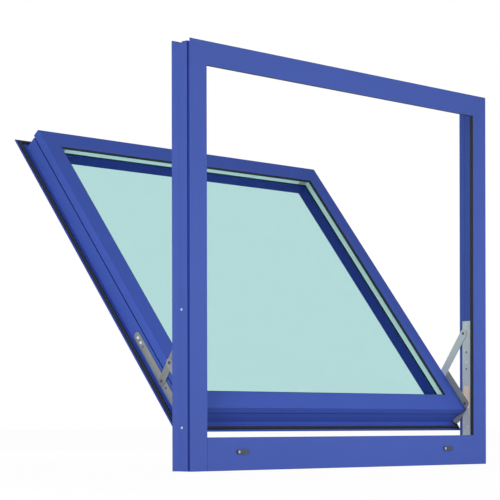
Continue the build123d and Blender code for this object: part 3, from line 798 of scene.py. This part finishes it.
camera_data = bpy.data.cameras.new("camera")
camera_data.sensor_width = 36.0
camera_data.lens = FOCAL_PIXELS / PICTURE_PIXELS * camera_data.sensor_width
camera_data.shift_x = (PICTURE_PIXELS / 2 - MIDDLE_PIXELS) / PICTURE_PIXELS
camera_data.shift_y = (HORIZON_PIXELS - PICTURE_PIXELS / 2) / PICTURE_PIXELS
camera = bpy.data.objects.new("camera", camera_data)
camera.location = CAMERA_PLACE
camera.rotation_euler = (pi / 2, radians(CAMERA_ROLL), -radians(CAMERA_TURN))
bpy.context.scene.collection.objects.link(camera)
bpy.context.scene.camera = camera
print("camera lens:", round(camera_data.lens, 1), "mm")

# %% [markdown]
# ## White background
# The room is white where it is looked at, straight or by way of metal or glass, and dimmer where it
# only passes light on, so the paint keeps its own colour. A Light Path node tells these rays apart.
# The floor and the world both need that, so one function makes it.

# %% Rays that look at the background
def looking_ray(tree):
    """One for rays from the camera, off a mirror or through glass, zero for rays that gather light."""
    rays = tree.nodes.new("ShaderNodeLightPath")
    kinds = ("Camera", "Glossy", "Transmission")
    direct, mirrored, through = [Wire(tree, rays.outputs[f"Is {kind} Ray"]) for kind in kinds]
    return direct.math("MAXIMUM", direct.math("MAXIMUM", direct, mirrored), through)


print("white for rays from the camera, off metal and through glass")

# %% [markdown]
# ## Floor
# The floor is one large pale sheet just under the sill. It could be all emission, but then the window
# would seem to float. A small share of its own shading stays in the mix, so the window keeps its
# shadow.

# %% Floor
FLOOR_REACH = 30.0
FLOOR_DROP = 0.0006
FLOOR_GREY = 0.9
WHITE_SHARE = 0.97

floor_mesh = bpy.data.meshes.new("floor")
corners = [(-FLOOR_REACH, -FLOOR_REACH), (FLOOR_REACH, -FLOOR_REACH)]
corners += [(FLOOR_REACH, FLOOR_REACH), (-FLOOR_REACH, FLOOR_REACH)]
floor_mesh.from_pydata([(x, y, -FLOOR_DROP) for x, y in corners], [], [(0, 1, 2, 3)])
floor = bpy.data.objects.new("floor", floor_mesh)
bpy.context.scene.collection.objects.link(floor)

pale_floor, floor_shader = new_finish("pale_floor")[:2]
feed(floor_shader, Base_Color=(FLOOR_GREY, FLOOR_GREY, FLOOR_GREY, 1.0), Roughness=0.9)
floor_tree = pale_floor.node_tree
looked_at = looking_ray(floor_tree)
lit = Wire(floor_tree, floor_shader.outputs[0])
white = lit.node("ShaderNodeEmission", {}, {"Color": (1.0, 1.0, 1.0, 1.0), "Strength": 1.0})
mixed = lit.node("ShaderNodeMixShader", {}, {0: looked_at * WHITE_SHARE, 1: lit, 2: white})
floor_tree.links.new(mixed.socket, floor_tree.nodes["Material Output"].inputs["Surface"])
floor_mesh.materials.append(pale_floor)
print("floor:", floor.name, "white share", WHITE_SHARE)

# %% [markdown]
# ## World
# The world does the same: a strength of one where it is looked at, which is white, and a lower one
# as soft light from all round.

# %% World
WORLD_LIGHT = 0.37
world = bpy.data.worlds.new("studio")
bpy.context.scene.world = world
world.use_nodes = True
background = world.node_tree.nodes["Background"]
background.inputs["Color"].default_value = (1.0, 1.0, 1.0, 1.0)
world_strength = WORLD_LIGHT + looking_ray(world.node_tree) * (1.0 - WORLD_LIGHT)
world.node_tree.links.new(world_strength.socket, background.inputs["Strength"])
print("world light:", WORLD_LIGHT)

# %% [markdown]
# ## Lamps
# Two soft lamps stand low, one in front and one to the left, because the lower parts and the faces
# that point at the viewer are the bright ones. A weaker one behind keeps the back from going dark.
# Area lamps give soft edges. They are hidden from the camera and from rays through glass, so they
# don't show as white panels in other views.

# %% Lamps
def soft_lamp(name, place, target, size, watts):
    """A rectangular area lamp that points at a target."""
    lamp_data = bpy.data.lights.new(name, "AREA")
    lamp_data.shape = "RECTANGLE"
    lamp_data.size, lamp_data.size_y = size
    lamp_data.energy = watts
    lamp = bpy.data.objects.new(name, lamp_data)
    lamp.location = place
    lamp.rotation_euler = (Vector(target) - Vector(place)).to_track_quat("-Z", "Y").to_euler()
    lamp.visible_camera = False
    lamp.visible_transmission = False
    bpy.context.scene.collection.objects.link(lamp)
    return lamp


front_lamp = soft_lamp(
    "front_lamp", place=(0.25, -1.4, 0.27), target=(0.1, 0.1, 0.25), size=(0.9, 0.5), watts=9.6
)
side_lamp = soft_lamp(
    "side_lamp", place=(-2.7, -0.9, 0.33), target=(0, 0.2, 0.36), size=(0.9, 0.6), watts=32
)
back_lamp = soft_lamp(
    "back_lamp", place=(0.9, 2.9, 1.0), target=(0, 0.3, 0.45), size=(1.2, 0.8), watts=20
)
print("lamps:", front_lamp.name, side_lamp.name, back_lamp.name)

# %% [markdown]
# ## Finish
# The view transform stays plain, so that colours show as they were written.

# %% View transform
bpy.context.scene.view_settings.view_transform = "Standard"
